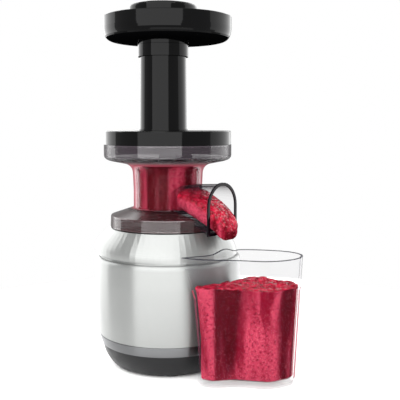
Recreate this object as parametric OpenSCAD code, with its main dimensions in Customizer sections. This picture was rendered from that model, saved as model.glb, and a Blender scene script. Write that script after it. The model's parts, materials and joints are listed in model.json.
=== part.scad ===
// Vertical slow juicer: a drum-shaped motor base, a clear pressing bowl with an
// arched spout, a lid with a tall feed tube, a food tray, a pusher and a jug.
// Millimetres, +Z up. Every piece is drawn about the drum's axis, and placed() then sets
// that axis back, so that the origin lies on the floor in the middle of the footprint.
// The spout and the jug point along -Y.

/* [Drum] */
// Largest radius of the drum
drum_r = 83.5; // [82:0.5:87]
// Radius of the drum at its lower edge
drum_low_r = 79.3; // [78.5:0.1:81]
// Height of the drum's lower edge above the floor
drum_low_z = 37.8; // [36:0.2:42]
// Height of the drum's upper edge
drum_top_z = 126; // [122:0.5:130]
// Wall of the drum, shoulder and base shells
shell_wall = 2.4; // [1.8:0.1:3]
// Height of the dark groove between drum and shoulder
groove_h = 2; // [1:0.1:3]
// Depth of that groove behind the drum's top edge
groove_depth = 1.6; // [0.8:0.1:2]

/* [Shoulder] */
// Radius of the shoulder's top edge
shoulder_top_r = 66.6; // [64:0.2:70]
// Height of the shoulder's top edge
shoulder_top_z = 157.4; // [154:0.2:162]
// Mean radius of the bulge
bulge_r = 81.4; // [79:0.2:84]
// How far the bulge sits back from the spout
bulge_back = 2.6; // [0:0.2:3.5]
// Mean height of the bulge above the groove
bulge_rise = 6.5; // [5.5:0.1:9]
// Fall of the bulge towards the spout
bulge_fall = 4.4; // [0:0.2:5]

/* [Base] */
// Radius of the base pan's underside
pan_low_r = 63; // [60:0.5:66]
// Radius of the base pan's upper edge
pan_top_r = 75.6; // [75:0.1:77]
// Height of the base pan's upper edge
pan_top_z = 26.2; // [24:0.2:28]
// Height of the pan's underside above the floor
foot_h = 2.5; // [1.5:0.1:4]
// Radius of a foot pad
foot_r = 9; // [6:0.5:11]
// Circle on which the feet stand
foot_circle_r = 50; // [44:0.5:51]
// Circle on which the pillars of the gearbox stand
pillar_circle_r = 55.5; // [54:0.5:56]
// Thickness of the trim band
band_wall = 2; // [1.5:0.1:2.6]
// Gap between the trim band and its neighbours
band_gap = 0.3; // [0.2:0.05:0.5]

/* [Gear train] */
// Teeth on every pinion
pinion_teeth = 12; // [11:1:13]
// Teeth on every wheel
wheel_teeth = 48; // [46:1:50]
// Module of the first two stages
fine_module = 1; // [0.95:0.01:1.02]
// Module of the output stage
coarse_module = 1.5; // [1.45:0.01:1.52]
// Play between the teeth, on the pitch circle
backlash = 0.16; // [0.1:0.01:0.25]
// Width of the first and second wheels
fine_face_w = 7; // [5:0.5:8]
// Width of the output wheel
coarse_face_w = 10; // [8:0.5:11]
// Radius of both layshafts
layshaft_r = 4; // [3:0.1:4.2]
// Radius of the output shaft
output_shaft_r = 6; // [5:0.1:7]
// Running clearance of shafts in their bearings
shaft_gap = 0.05; // [0.02:0.01:0.09]

/* [Gearbox] */
// Height of the gearbox floor's underside
gearbox_z = 66; // [64:0.5:67]
// Outer radius of the gearbox
gearbox_r = 76; // [75.5:0.1:77]
// Wall and floor of the gearbox
gearbox_wall = 3; // [2:0.1:3.2]
// Thickness of the plate between the stages
mid_plate_h = 3.5; // [2.5:0.1:4]
// Free height of the lower gear chamber
lower_chamber_h = 27; // [26:0.5:29]
// Free height of the upper gear chamber
upper_chamber_h = 16; // [14:0.5:17]

/* [Motor] */
// Radius of the laminated stator
stator_r = 40; // [38:0.5:43]
// Stack height of stator and rotor
stack_h = 30; // [24:0.5:32]
// Radius of the rotor
rotor_r = 21; // [18:0.5:22]
// Air gap between the rotor and the stator
air_gap = 0.6; // [0.4:0.1:1]
// Radius of the motor shaft
motor_shaft_r = 3; // [2.5:0.1:3.2]
// Radius of the commutator
commutator_r = 9; // [8:0.5:10]
// Radius of the cooling fan
fan_r = 30; // [24:0.5:33]
// Number of fan blades
fan_blades = 9; // [7:1:12]

/* [Bowl] */
// Outer radius of the bowl's upper ring
ring_r = 73.2; // [72:0.2:75]
// Height of the ring's upper edge
ring_top_z = 252.2; // [248:0.2:256]
// Height of the ring's outer wall
ring_h = 13.6; // [12:0.2:15]
// Outer radius of the bowl's neck
neck_r = 39.4; // [38:0.2:41]
// Height at which the funnel meets the neck
neck_top_z = 225; // [222:0.5:227]
// Height of the top of the bowl's floor
bowl_floor_z = 178.5; // [177:0.1:180]
// Wall of the bowl
bowl_wall = 2.5; // [2:0.1:2.8]
// Outer radius of the bowl's skirt
skirt_r = 65.6; // [64:0.2:67]
// Height of the skirt's upper edge
skirt_top_z = 171.4; // [169:0.2:173]
// Gap between the skirt and the deck under it
skirt_gap = 0.5; // [0.3:0.1:1]

/* [Spout] */
// Distance of the spout's mouth from the axis
spout_reach = 78.5; // [75:0.5:81]
// Half width of the mouth
mouth_half_w = 25; // [23:0.5:27]
// Height of the top of the mouth
mouth_top_z = 210.8; // [208:0.2:213]
// Height of the lower end of the mouth
mouth_low_z = 156; // [154:0.5:158]
// Half width of the spout's root
root_half_w = 28.5; // [26:0.5:30]
// Height of the root's roof
root_top_z = 206; // [203:0.5:208]
// Wall of the spout
spout_wall = 2; // [1.6:0.1:2.4]
// Thickness of the bead round the mouth
bead = 1.2; // [0.8:0.1:1.6]

/* [Press] */
// Outer radius of the auger's flight
auger_r = 31; // [29:0.2:31.4]
// Gap between the flight and the strainer
flight_gap = 0.8; // [0.6:0.1:1.2]
// Wall of the strainer
strainer_wall = 1.8; // [1.4:0.1:2]
// Number of slots round the strainer
strainer_slots = 20; // [12:1:28]
// Width of a strainer slot
slot_w = 2.4; // [1:0.1:3]
// Radius of the auger's hub in the bowl's floor
hub_r = 12; // [11.5:0.1:13]
// Width across the corners of the drive hexagon
hex_d = 16; // [14:0.5:17]
// Radius of the auger's top pin
top_pin_r = 4; // [3:0.1:5]
// Turns of the auger's flight
flight_turns = 2; // [1.5:0.25:2.5]

/* [Lid and tube] */
// Outer radius of the lid
lid_r = 72.7; // [71.5:0.1:74]
// Height of the lid's top face above the bowl's ring
lid_h = 15.8; // [14:0.2:18]
// Wall of the lid
lid_wall = 2.6; // [2.2:0.1:3]
// Outer radius of the skirt inside the lid
lid_skirt_r = 58; // [50:0.5:60]
// Depth of that skirt under the lid's roof
lid_skirt_h = 22; // [14:0.5:24]
// Feed tube's place across the spout
tube_x = -16.9; // [-18:0.1:-15]
// Feed tube's place along the spout
tube_y = -7.9; // [-9:0.1:-6]
// Bore of the feed tube
tube_bore_r = 23.2; // [22.6:0.1:23.4]
// Outer radius of the feed tube at the lid
tube_low_r = 26.4; // [26:0.1:27]
// Outer radius of the feed tube under its collar
tube_top_r = 25.7; // [25.3:0.1:26]
// Outer radius of the collar at the tube's top
collar_r = 28.2; // [27.9:0.1:29]
// Height of the collar
collar_h = 13.2; // [10:0.2:18]

/* [Food tray] */
// Outer radius of the tray
tray_r = 73.2; // [71:0.2:76]
// Height of the tray from its underside to its rim
tray_h = 27.4; // [25.6:0.2:29]
// Length of the tray's neck above the feed tube
tray_neck_h = 5.8; // [4:0.2:8]
// Wall of the tray
tray_wall = 2.4; // [2:0.1:3]

/* [Pusher] */
// Radius of the pusher's stem
stem_r = 22.6; // [22:0.1:22.7]
// Height of the stem's lower end above the lid's top face
stem_rise = 5; // [4.5:0.5:22]
// Radius of the pusher's cap
cap_r = 38; // [35:0.5:40]
// Height of the cap's top
cap_top_z = 408; // [404:0.5:412]
// Height of the cap's top above the tray's rim
cap_rise = 11.2; // [8:0.2:14]
// Wall of the stem and the cap
pusher_wall = 2.4; // [2:0.1:3]

/* [Jug] */
// Height of the jug's rim
jug_h = 137; // [120:1:145]
// Wall of the jug
jug_wall = 2.2; // [1.8:0.1:2.6]
// Thickness of the jug's floor
jug_floor = 4; // [3:0.5:6]
// Height of the inset foot under the jug
jug_foot_h = 3; // [2:0.5:4]
// Gap between the jug's hollow side and the drum
jug_gap = 3.2; // [2.6:0.2:5]
// Rise of the peak in the middle of the jug's hollow side
jug_peak = 4.6; // [0:0.2:6]

/* [Switch and cord inlet] */
// Height of the switch's centre
switch_z = 52; // [50:1:54]
// Width of the switch's frame
switch_w = 30; // [26:1:32]
// Height of the switch's frame
switch_h = 21; // [20:0.5:22]
// Radius of the rocker about its pivot
rocker_r = 8; // [7.5:0.1:8.4]
// Radius of the rocker's pivot pin
rocker_pin_r = 1.5; // [1.2:0.1:1.8]
// Radius of the bore in the cord gland
gland_bore_r = 3.6; // [3:0.1:4.2]
// Outer radius of the cord gland
gland_r = 6.5; // [5.8:0.1:7]
// Height of the cord gland's axis
gland_z = 16; // [15:0.5:17]

/* [Hidden] */
$fn = 96;

// ---- derived heights and places ----
eps = 0.01;
seat_gap = 0.3;
pan_floor = 3.2;
pan_floor_z = foot_h + pan_floor;
groove_r = drum_r - 3.2 - groove_depth;
crease_r = drum_r - 3.7;
crease_z = drum_top_z + groove_h;
band_low_z = pan_top_z + band_gap;
band_top_z = drum_low_z - band_gap;
foot_angles = [45, 135, 225, 315];
pillar_angles = [65, 115, 245, 295];
pillar_head_z = foot_h + 10;

// Tower: the lid stands on the bowl's ring, and the tray and the tube hang under the cap
lid_top_z = ring_top_z + lid_h;
lid_roof_z = lid_top_z - 3;
stem_low_z = lid_top_z + stem_rise;
tray_top_z = cap_top_z - cap_rise;
tray_low_z = tray_top_z - tray_h;
tube_end_z = tray_low_z - tray_neck_h;
collar_z = tube_end_z - collar_h;

// Gearbox: a fine first and second stage, then a coarse output stage on the main axis
fine_distance = fine_module * (pinion_teeth + wheel_teeth) / 2;
coarse_distance = coarse_module * (pinion_teeth + wheel_teeth) / 2;
shaft_two_angle = 90;
shaft_one_angle = shaft_two_angle + acos(coarse_distance / (2 * fine_distance));
shaft_one = fine_distance * [cos(shaft_one_angle), sin(shaft_one_angle)];
shaft_two = coarse_distance * [cos(shaft_two_angle), sin(shaft_two_angle)];
chamber_z = gearbox_z + gearbox_wall;
mid_plate_z = chamber_z + lower_chamber_h;
upper_chamber_z = mid_plate_z + mid_plate_h;
cover_plate_z = upper_chamber_z + upper_chamber_h;
cover_top_z = cover_plate_z + gearbox_wall;
first_stage_z = chamber_z + 3;
second_stage_z = first_stage_z + fine_face_w + 5;
output_stage_z = upper_chamber_z + 3;
box_inner_r = gearbox_r - gearbox_wall;
boss_r = 4.6;
boss_circle_r = box_inner_r - boss_r + 1;
screw_r = 1.9;
screw_head_r = 3.6;
screw_head_h = 2.6;
screw_bite = 14;
floor_boss_h = 2;
bush_wall = 2;
bush_h = gearbox_wall;

// Motor, standing on the pan under the gearbox
motor_bearing_r = 8;
motor_bearing_h = 5;
commutator_z = pan_floor_z + motor_bearing_h + 2;
commutator_h = 9;
stack_z = commutator_z + commutator_h + 4;
stack_top_z = stack_z + stack_h;
coil_h = 4.5;
coil_r = [24, 31];
coil_from = 14;
coil_side = 12;
coil_play = 0.1;
can_wall = 2.5;
can_top_z = stack_top_z + 3;
fan_z = stack_top_z + coil_h + 1.5;
fan_h = gearbox_z - fan_z - 1.2;
brush_size = [13, 6, 5];
brush_z = commutator_z + (commutator_h - brush_size[2]) / 2;
holder_low_x = commutator_r + 2;
holder_high_x = stator_r - 1.5;
shaft_end_z = first_stage_z + fine_face_w + 2;

// Deck and drive head above the gearbox
deck_r = shoulder_top_r - 3.2;
deck_low_z = shoulder_top_z - 4;
deck_lip_z = shoulder_top_z + 0.8;
skirt_low_z = deck_lip_z + skirt_gap;
deck_boss_r = 24;
deck_boss_z = deck_lip_z + 4;
deck_leg_r = 58;
output_bearing_r = 13;
output_bearing_h = 8;
hex_z = deck_boss_z + 1;
hex_h = 11;
hub_low_z = hex_z + 0.6;
bowl_floor_h = 3;
hub_seal_wall = 2.2;
hub_seal_h = bowl_floor_h;

// Press
auger_base_z = bowl_floor_z + 2;
auger_base_h = 3;
neck_inner_r = neck_r - bowl_wall;
strainer_inner_r = auger_r + flight_gap;
strainer_outer_r = strainer_inner_r + strainer_wall;
strainer_low_z = bowl_floor_z + 0.2;
strainer_top_z = neck_top_z + 8;
flight_low_z = auger_base_z + auger_base_h;
top_pin_drop = 19.5;
top_pin_z = lid_roof_z - top_pin_drop;
top_pin_h = 12;
flight_h = top_pin_z - flight_low_z;

// Lid
lid_low_z = ring_top_z + seat_gap;
spigot_r = lid_r - lid_wall - 0.5;
spigot_top_z = ring_top_z + 9;
boss_under_lid_r = 8;
hook_angles = [138, -82, 38];
socket_gap = 0.3;
socket_r = tube_bore_r + 2.6;
socket_h = 8;

// Jug: its hollow side follows the drum
jug_hollow_r = drum_r + jug_gap;
jug_view = 50;

// ---- shared shapes ----

// Radius r and height z of an arc from a to b, bent towards the corner c
function arc(a, c, b, n = 10) =
    [for (i = [0:n]) let (t = i / n)
        (1 - t) * (1 - t) * a + 2 * t * (1 - t) * c + t * t * b];

// Every point of an outline moved along the radius
function shifted(points, dr, dz = 0) = [for (p = points) [p[0] + dr, p[1] + dz]];

function reversed(points) = [for (i = [len(points) - 1:-1:0]) points[i]];

// The point of a profile [r, z] turned to angle a
function ring_point(p, a) = [p[0] * cos(a), p[0] * sin(a), p[1]];

// Skin over rings of equally many points; closed joins the last ring to the first
module skin(rings, closed = false) {
    n = len(rings[0]);
    rows = len(rings);
    last = closed ? rows - 1 : rows - 2;
    sides = [for (k = [0:last]) for (s = [0:n - 1])
        let (a = k * n + s, b = k * n + (s + 1) % n,
             c = ((k + 1) % rows) * n + s, d = ((k + 1) % rows) * n + (s + 1) % n)
        each [[a, c, b], [b, c, d]]];
    caps = closed ? [] : [[for (s = [0:n - 1]) s], [for (s = [n - 1:-1:0]) (rows - 1) * n + s]];
    polyhedron([for (r = rings) each r], concat(sides, caps));
}

module tube(outer, inner, h) {
    difference() {
        cylinder(r = outer, h = h);
        translate([0, 0, -1]) cylinder(r = inner, h = h + 2);
    }
}

module round_array(radius, angles) {
    for (a = angles) rotate([0, 0, a]) translate([radius, 0, 0]) children();
}

// Cap screw with its head at z = 0 and its shank upwards
module cap_screw(length) {
    difference() {
        union() {
            translate([0, 0, -screw_head_h]) cylinder(r = screw_head_r, h = screw_head_h, $fn = 32);
            cylinder(r = screw_r, h = length, $fn = 32);
        }
        translate([0, 0, -screw_head_h - 1]) cylinder(r = 1.7, h = 2.4, $fn = 6);
    }
}

// ---- gears ----
pressure_angle = 20;
addendum = 0.75;
dedendum = 1;

// Involute function, in degrees
function inv(a) = tan(a) * 180 / PI - a;

// Half of a tooth's angle at radius r
function tooth_half_angle(teeth, m, r) =
    let (pitch_r = m * teeth / 2,
         base_r = pitch_r * cos(pressure_angle),
         play = backlash / pitch_r * 90 / PI,
         a = r > base_r ? acos(base_r / r) : 0)
    90 / teeth - play / 2 + inv(pressure_angle) - inv(a);

function gear_outline(teeth, m) =
    let (pitch_r = m * teeth / 2,
         base_r = pitch_r * cos(pressure_angle),
         root_r = pitch_r - dedendum * m,
         tip_r = pitch_r + addendum * m,
         start_r = max(root_r, base_r),
         radii = concat([root_r], [for (i = [0:3]) start_r + 0.01 + (tip_r - start_r - 0.01) * i / 3]))
    [for (k = [0:teeth - 1]) let (mid = k * 360 / teeth)
        for (j = [0:2 * len(radii) - 1])
            let (rising = j < len(radii),
                 r = rising ? radii[j] : radii[2 * len(radii) - 1 - j],
                 h = tooth_half_angle(teeth, m, r),
                 a = rising ? mid - h : mid + h)
            r * [cos(a), sin(a)]];

module gear(teeth, m, width, bore_r, phase = 0) {
    difference() {
        rotate([0, 0, phase]) linear_extrude(width) polygon(gear_outline(teeth, m));
        translate([0, 0, -1]) cylinder(r = bore_r, h = width + 2);
    }
}

// Wheel with a thinner web between its rim and its hub
module wheel(teeth, m, width, bore_r, phase = 0) {
    root_r = m * teeth / 2 - dedendum * m;
    recess = width * 0.3;
    difference() {
        gear(teeth, m, width, bore_r, phase);
        for (z = [-1, width - recess]) translate([0, 0, z]) tube(root_r - 3, bore_r + 4, recess + 1);
    }
}

// Phase that puts a gear's gap opposite a tooth of its mate, seen along the line of centres
function mesh_phase(line_angle, mate_teeth, mate_phase, teeth) =
    let (f = (line_angle - mate_phase) * mate_teeth / 360)
    line_angle + 180 - (0.5 - f) * 360 / teeth;

wheel_one_phase = mesh_phase(shaft_one_angle, pinion_teeth, 0, wheel_teeth);
pinion_two_line = atan2(shaft_two[1] - shaft_one[1], shaft_two[0] - shaft_one[0]);
wheel_two_phase = mesh_phase(pinion_two_line, pinion_teeth, 0, wheel_teeth);
output_phase = mesh_phase(shaft_two_angle + 180, pinion_teeth, 0, wheel_teeth);

// ---- base, drum and shoulder ----
pan_outline = arc([pan_low_r, foot_h], [73.4, 12.8], [pan_top_r, pan_top_z]);
drum_outline = concat(
    arc([drum_low_r, drum_low_z], [82.4, 58], [drum_r, 100], 12),
    arc([drum_r, drum_top_z - 5.6], [drum_r, drum_top_z - 0.6], [drum_r - 3.2, drum_top_z], 6));

module foot_pads() {
    color("#1c1c1c") round_array(foot_circle_r, foot_angles) {
        cylinder(r = foot_r, h = foot_h - 0.02);
        cylinder(r = 2.4, h = foot_h + 3);
    }
}

module pan_pillars() {
    round_array(pillar_circle_r, pillar_angles)
        translate([0, 0, pan_floor_z - eps])
            cylinder(r = boss_r, h = gearbox_z - pan_floor_z + eps, $fn = 48);
}

module base_pan() {
    rim_inner = pan_top_r - shell_wall;
    color("#2b2b2d") difference() {
        union() {
            rotate_extrude() polygon(concat(
                [[0, foot_h]], pan_outline,
                [[rim_inner + 0.6, pan_top_z], [rim_inner + 0.6, pan_top_z + 8],
                 [rim_inner - 1.4, pan_top_z + 8]],
                reversed(arc([pan_low_r - 4, pan_floor_z], [70.4, 14], [rim_inner - 1.4, pan_top_z])),
                [[0, pan_floor_z]]));
            pan_pillars();
            translate([0, 0, pan_floor_z - eps]) tube(motor_bearing_r + 3, motor_bearing_r, motor_bearing_h);
        }
        round_array(foot_circle_r, foot_angles) translate([0, 0, foot_h - 1]) cylinder(r = 2.5, h = 8);
        round_array(pillar_circle_r, pillar_angles) {
            cylinder(r = screw_head_r + 0.3, h = pillar_head_z, $fn = 32);
            cylinder(r = screw_r + 0.2, h = gearbox_z + 1, $fn = 32);
        }
        for (a = [0:30:330]) rotate([0, 0, a + 15]) translate([18, -1.5, foot_h - 1]) cube([16, 3, 8]);
        translate([0, 60, gland_z]) rotate([-90, 0, 0]) cylinder(r = gland_r + 0.1, h = 30);
    }
}

module base_screws() {
    color("silver") round_array(pillar_circle_r, pillar_angles)
        translate([0, 0, pillar_head_z - 0.02]) cap_screw(chamber_z + floor_boss_h - pillar_head_z);
}

module trim_band() {
    outer = arc([pan_top_r + 0.5, band_low_z], [78, 30], [drum_low_r - 0.1, band_top_z - 0.9], 6);
    lip = [[drum_low_r + 0.4, band_top_z - 0.7], [drum_low_r + 0.4, band_top_z - 0.1],
           [drum_low_r, band_top_z]];
    inner_low = pan_top_r - shell_wall + 0.9;
    color("#a5a6a8") rotate_extrude() polygon(concat(
        outer, lip,
        [[drum_low_r - band_wall, band_top_z]],
        reversed(shifted(arc([pan_top_r + 0.5, band_low_z], [78, 30], [drum_low_r, band_top_z - 2], 6),
                         -band_wall)),
        [[inner_low, band_low_z]]));
}

module switch_slot(gap) {
    translate([-switch_w / 2 - gap, 60, switch_z - switch_h / 2 - gap])
        cube([switch_w + 2 * gap, 30, switch_h + 2 * gap]);
}

module body_shell() {
    inner = concat(
        shifted(arc([drum_low_r, drum_low_z], [82.4, 58], [drum_r, 100], 12), -shell_wall),
        [[drum_r - shell_wall, drum_top_z - 6], [groove_r + 0.3, drum_top_z - 2],
         [groove_r + 0.3, drum_top_z]]);
    color("#c9cac8") difference() {
        rotate_extrude() polygon(concat(drum_outline, reversed(inner)));
        switch_slot(0.2);
    }
}

// One ring of the shoulder: its outline leans down and in towards the spout (-Y)
function bulge_at(a) = [
    bulge_r + bulge_back * sin(a),
    crease_z + bulge_rise + bulge_fall * sin(a)];

function shoulder_profile(a, inset) =
    let (low = [crease_r - inset, crease_z],
         top = [shoulder_top_r - inset, shoulder_top_z],
         mid = bulge_at(a) - [inset, 0],
         bend = mid + [0, 4],
         start = bend + (top - bend) * 0.4)
    concat(arc(low, [mid[0], low[1] + 1.2], mid, 4),
           [for (i = [1:5]) arc(mid, bend, start, 5)[i]],
           [top]);

module shoulder_shell() {
    sides = 72;
    lip_r = groove_r;
    turn = [for (s = [0:sides - 1]) s * 360 / sides];
    rows = len(shoulder_profile(0, 0));
    outer = [for (k = [0:rows - 1]) [for (a = turn) ring_point(shoulder_profile(a, 0)[k], a)]];
    inner = [for (k = [rows - 1:-1:0]) [for (a = turn) ring_point(shoulder_profile(a, shell_wall)[k], a)]];
    color("#c9cac8") {
        skin(concat(outer, inner), true);
        translate([0, 0, drum_top_z - 5]) tube(lip_r, lip_r - 2, groove_h + 5.4);
        translate([0, 0, crease_z]) tube(crease_r - 1, lip_r - 2, 0.4);
    }
}

module top_deck() {
    color("#202022") difference() {
        union() {
            rotate_extrude() polygon([
                [0, deck_low_z], [deck_r, deck_low_z], [deck_r, shoulder_top_z + 0.1],
                [shoulder_top_r - 0.8, shoulder_top_z + 0.1], [shoulder_top_r - 0.8, deck_lip_z],
                [deck_boss_r, deck_lip_z + 1.2], [deck_boss_r - 1.5, deck_boss_z], [0, deck_boss_z]]);
            translate([0, 0, cover_top_z + 0.02])
                tube(deck_leg_r, deck_leg_r - 2.5, deck_low_z - cover_top_z);
        }
        translate([0, 0, deck_low_z - 1]) cylinder(r = output_shaft_r + 1, h = 30);
        translate([0, 0, deck_boss_z - 4]) cylinder(r = output_shaft_r + 5, h = 10);
        translate([0, 0, deck_low_z - 1]) difference() {
            cylinder(r = deck_leg_r - 8, h = 4);
            translate([0, 0, -1]) cylinder(r = output_shaft_r + 6, h = 8);
        }
        for (a = hook_angles) rotate([0, 0, a]) translate([50, -5, deck_lip_z - 2]) cube([5, 10, 6]);
    }
}

// ---- gearbox ----
module screw_bosses(h) {
    round_array(boss_circle_r, foot_angles) cylinder(r = boss_r, h = h, $fn = 48);
}

module screw_holes(h, r) {
    round_array(boss_circle_r, foot_angles) translate([0, 0, -1]) cylinder(r = r, h = h + 2, $fn = 32);
}

// Inside of the box, which leaves its four screw bosses standing
module box_pocket(h) {
    difference() {
        cylinder(r = box_inner_r, h = h);
        translate([0, 0, -1]) screw_bosses(h + 2);
    }
}

module gearbox_housing() {
    h = gearbox_wall + lower_chamber_h;
    color("#6f7276") translate([0, 0, gearbox_z]) difference() {
        cylinder(r = gearbox_r, h = h);
        translate([0, 0, gearbox_wall]) difference() {
            box_pocket(lower_chamber_h + 1);
            round_array(pillar_circle_r, pillar_angles)
                translate([0, 0, -1]) cylinder(r = boss_r, h = floor_boss_h + 1, $fn = 48);
        }
        translate([0, 0, -1]) cylinder(r = motor_bearing_r, h = gearbox_wall + 2);
        round_array(pillar_circle_r, pillar_angles)
            translate([0, 0, -1]) cylinder(r = screw_r + 0.01, h = gearbox_wall + floor_boss_h + 2, $fn = 32);
        for (p = [shaft_one, shaft_two])
            translate([p[0], p[1], -1]) cylinder(r = layshaft_r + bush_wall, h = gearbox_wall + 2);
        screw_holes(h, screw_r + 0.2);
    }
}

module gearbox_mid_plate() {
    boss_h = 8;
    color("#6f7276") difference() {
        union() {
            translate([0, 0, mid_plate_z]) cylinder(r = gearbox_r, h = mid_plate_h);
            translate([0, 0, mid_plate_z - boss_h]) cylinder(r = output_shaft_r + 4.5, h = boss_h);
        }
        translate([0, 0, mid_plate_z - boss_h + 1.5]) cylinder(r = output_shaft_r + bush_wall, h = 20);
        translate([shaft_one[0], shaft_one[1], mid_plate_z - 1]) cylinder(r = layshaft_r + bush_wall, h = 9);
        translate([shaft_two[0], shaft_two[1], mid_plate_z - 1]) cylinder(r = layshaft_r + 1, h = 9);
        translate([0, 0, mid_plate_z]) screw_holes(mid_plate_h, screw_r + 0.2);
    }
}

module gearbox_cover() {
    color("#6f7276") difference() {
        union() {
            translate([0, 0, upper_chamber_z]) cylinder(r = gearbox_r, h = upper_chamber_h + gearbox_wall);
            translate([0, 0, cover_top_z - eps]) cylinder(r = output_bearing_r + 3, h = output_bearing_h);
        }
        translate([0, 0, upper_chamber_z - 1]) box_pocket(upper_chamber_h + 1);
        translate([0, 0, cover_plate_z - 1]) cylinder(r = output_shaft_r + 1.5, h = 20);
        translate([0, 0, cover_plate_z + 1.5]) cylinder(r = output_bearing_r, h = 20);
        translate([shaft_two[0], shaft_two[1], cover_plate_z - 1])
            cylinder(r = layshaft_r + bush_wall, h = 9);
        translate([0, 0, upper_chamber_z]) screw_holes(upper_chamber_h + gearbox_wall, screw_r + 0.2);
    }
}

module gearbox_screws() {
    top = cover_top_z + 0.02;
    color("silver") round_array(boss_circle_r, foot_angles)
        translate([0, 0, top]) mirror([0, 0, 1]) cap_screw(top - mid_plate_z + screw_bite);
}

module bush(outer, inner, h) {
    tube(outer - 0.01, inner + shaft_gap, h);
}

module layshaft_bushes() {
    color("#b08d57") {
        for (p = [shaft_one, shaft_two])
            translate([p[0], p[1], gearbox_z]) bush(layshaft_r + bush_wall, layshaft_r, bush_h);
        translate([shaft_one[0], shaft_one[1], mid_plate_z])
            bush(layshaft_r + bush_wall, layshaft_r, mid_plate_h);
        translate([shaft_two[0], shaft_two[1], cover_plate_z])
            bush(layshaft_r + bush_wall, layshaft_r, bush_h);
    }
}

module output_bearings() {
    color("silver") {
        translate([0, 0, mid_plate_z - 6.5])
            bush(output_shaft_r + bush_wall, output_shaft_r, 6.5 + mid_plate_h);
        translate([0, 0, cover_plate_z + 1.5]) bush(output_bearing_r, output_shaft_r, output_bearing_h);
    }
}

module drive_seal() {
    color("#3a3a3c") translate([0, 0, deck_boss_z - 4])
        tube(output_shaft_r + 4.99, output_shaft_r + shaft_gap, 3.8);
}

// ---- gear shafts ----
module layshaft(p, low, high) {
    translate([p[0], p[1], low]) cylinder(r = layshaft_r, h = high - low);
}

module layshaft_one() {
    color("silver") layshaft(shaft_one, gearbox_z, upper_chamber_z);
}

module layshaft_two() {
    color("silver") layshaft(shaft_two, gearbox_z, cover_top_z);
}

module first_wheel() {
    color("#e8e2d0") translate([shaft_one[0], shaft_one[1], first_stage_z])
        wheel(wheel_teeth, fine_module, fine_face_w, layshaft_r, wheel_one_phase);
}

module second_pinion() {
    color("#8a8d91") translate([shaft_one[0], shaft_one[1], first_stage_z + fine_face_w + 4])
        gear(pinion_teeth, fine_module, fine_face_w + 2, layshaft_r);
}

module second_wheel() {
    color("#e8e2d0") translate([shaft_two[0], shaft_two[1], second_stage_z])
        wheel(wheel_teeth, fine_module, fine_face_w, layshaft_r, wheel_two_phase);
}

module third_pinion() {
    color("#8a8d91") translate([shaft_two[0], shaft_two[1], output_stage_z - 1])
        gear(pinion_teeth, coarse_module, coarse_face_w + 2, layshaft_r);
}

module output_wheel() {
    color("#8a8d91") translate([0, 0, output_stage_z])
        wheel(wheel_teeth, coarse_module, coarse_face_w, output_shaft_r, output_phase);
}

module output_shaft() {
    color("silver") {
        translate([0, 0, mid_plate_z - 6]) cylinder(r = output_shaft_r, h = hex_z - mid_plate_z + 6);
        translate([0, 0, hex_z]) cylinder(d = hex_d, h = hex_h, $fn = 6);
    }
}

// ---- motor ----
module motor_bracket() {
    h = can_top_z - pan_floor_z;
    color("#8f9296") translate([0, 0, pan_floor_z]) difference() {
        tube(stator_r + can_wall, stator_r, h);
        for (a = [30:60:330]) rotate([0, 0, a]) translate([30, -9, 3]) cube([20, 18, 8]);
        for (a = [0, 90]) rotate([0, 0, a]) translate([-50, -7, h - 6]) cube([100, 14, 8]);
    }
}

module stator_core() {
    pole_w = 34;
    color("#5b5e63") translate([0, 0, stack_z]) {
        tube(stator_r - 0.01, stator_r - 6, stack_h);
        intersection() {
            tube(stator_r - 5, rotor_r + air_gap, stack_h);
            translate([-pole_w / 2, -50, 0]) cube([pole_w, 100, stack_h]);
        }
    }
}

// One field coil: a bow over each end of the stack, joined by two straight sides
module field_coil() {
    module bow(from, grow, h) {
        rotate([0, 0, from]) rotate_extrude(angle = 180 - 2 * from)
            translate([coil_r[0] - grow, 0]) square([coil_r[1] - coil_r[0] + 2 * grow, h]);
    }
    difference() {
        translate([0, 0, stack_z - coil_h]) bow(coil_from, 0, stack_h + 2 * coil_h);
        translate([0, 0, stack_z - coil_play]) bow(coil_from + coil_side, 1, stack_h + 2 * coil_play);
    }
}

module field_windings() {
    color("#b5622a") for (a = [0, 180]) rotate([0, 0, a]) field_coil();
}

module motor_bearings() {
    color("silver") {
        translate([0, 0, pan_floor_z]) bush(motor_bearing_r, motor_shaft_r, motor_bearing_h - 0.1);
        translate([0, 0, gearbox_z]) bush(motor_bearing_r, motor_shaft_r, gearbox_wall);
    }
}

module brush_holders() {
    wall = 1.2;
    color("#b08d57") for (a = [0, 180]) rotate([0, 0, a]) difference() {
        translate([holder_low_x, -brush_size[1] / 2 - wall, brush_z - wall])
            cube([holder_high_x - holder_low_x, brush_size[1] + 2 * wall, brush_size[2] + 2 * wall]);
        translate([holder_low_x - 1, -brush_size[1] / 2, brush_z])
            cube([holder_high_x - holder_low_x - wall + 1, brush_size[1], brush_size[2]]);
    }
}

module brushes() {
    color("#2a2a2a") for (a = [0, 180]) rotate([0, 0, a]) difference() {
        translate([commutator_r - 1, -brush_size[1] / 2 + 0.05, brush_z + 0.05])
            cube([brush_size[0], brush_size[1] - 0.1, brush_size[2] - 0.1]);
        translate([0, 0, brush_z - 1]) cylinder(r = commutator_r + shaft_gap, h = brush_size[2] + 2);
    }
}

module brush_springs() {
    low_x = commutator_r - 1 + brush_size[0];
    color("silver") for (a = [0, 180]) rotate([0, 0, a])
        translate([low_x, 0, brush_z + brush_size[2] / 2]) rotate([0, 90, 0])
            tube(2.1, 1.4, holder_high_x - 1.2 - low_x);
}

module motor_shaft() {
    low_z = pan_floor_z + 0.3;
    color("silver") translate([0, 0, low_z]) cylinder(r = motor_shaft_r, h = shaft_end_z - low_z);
}

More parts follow.
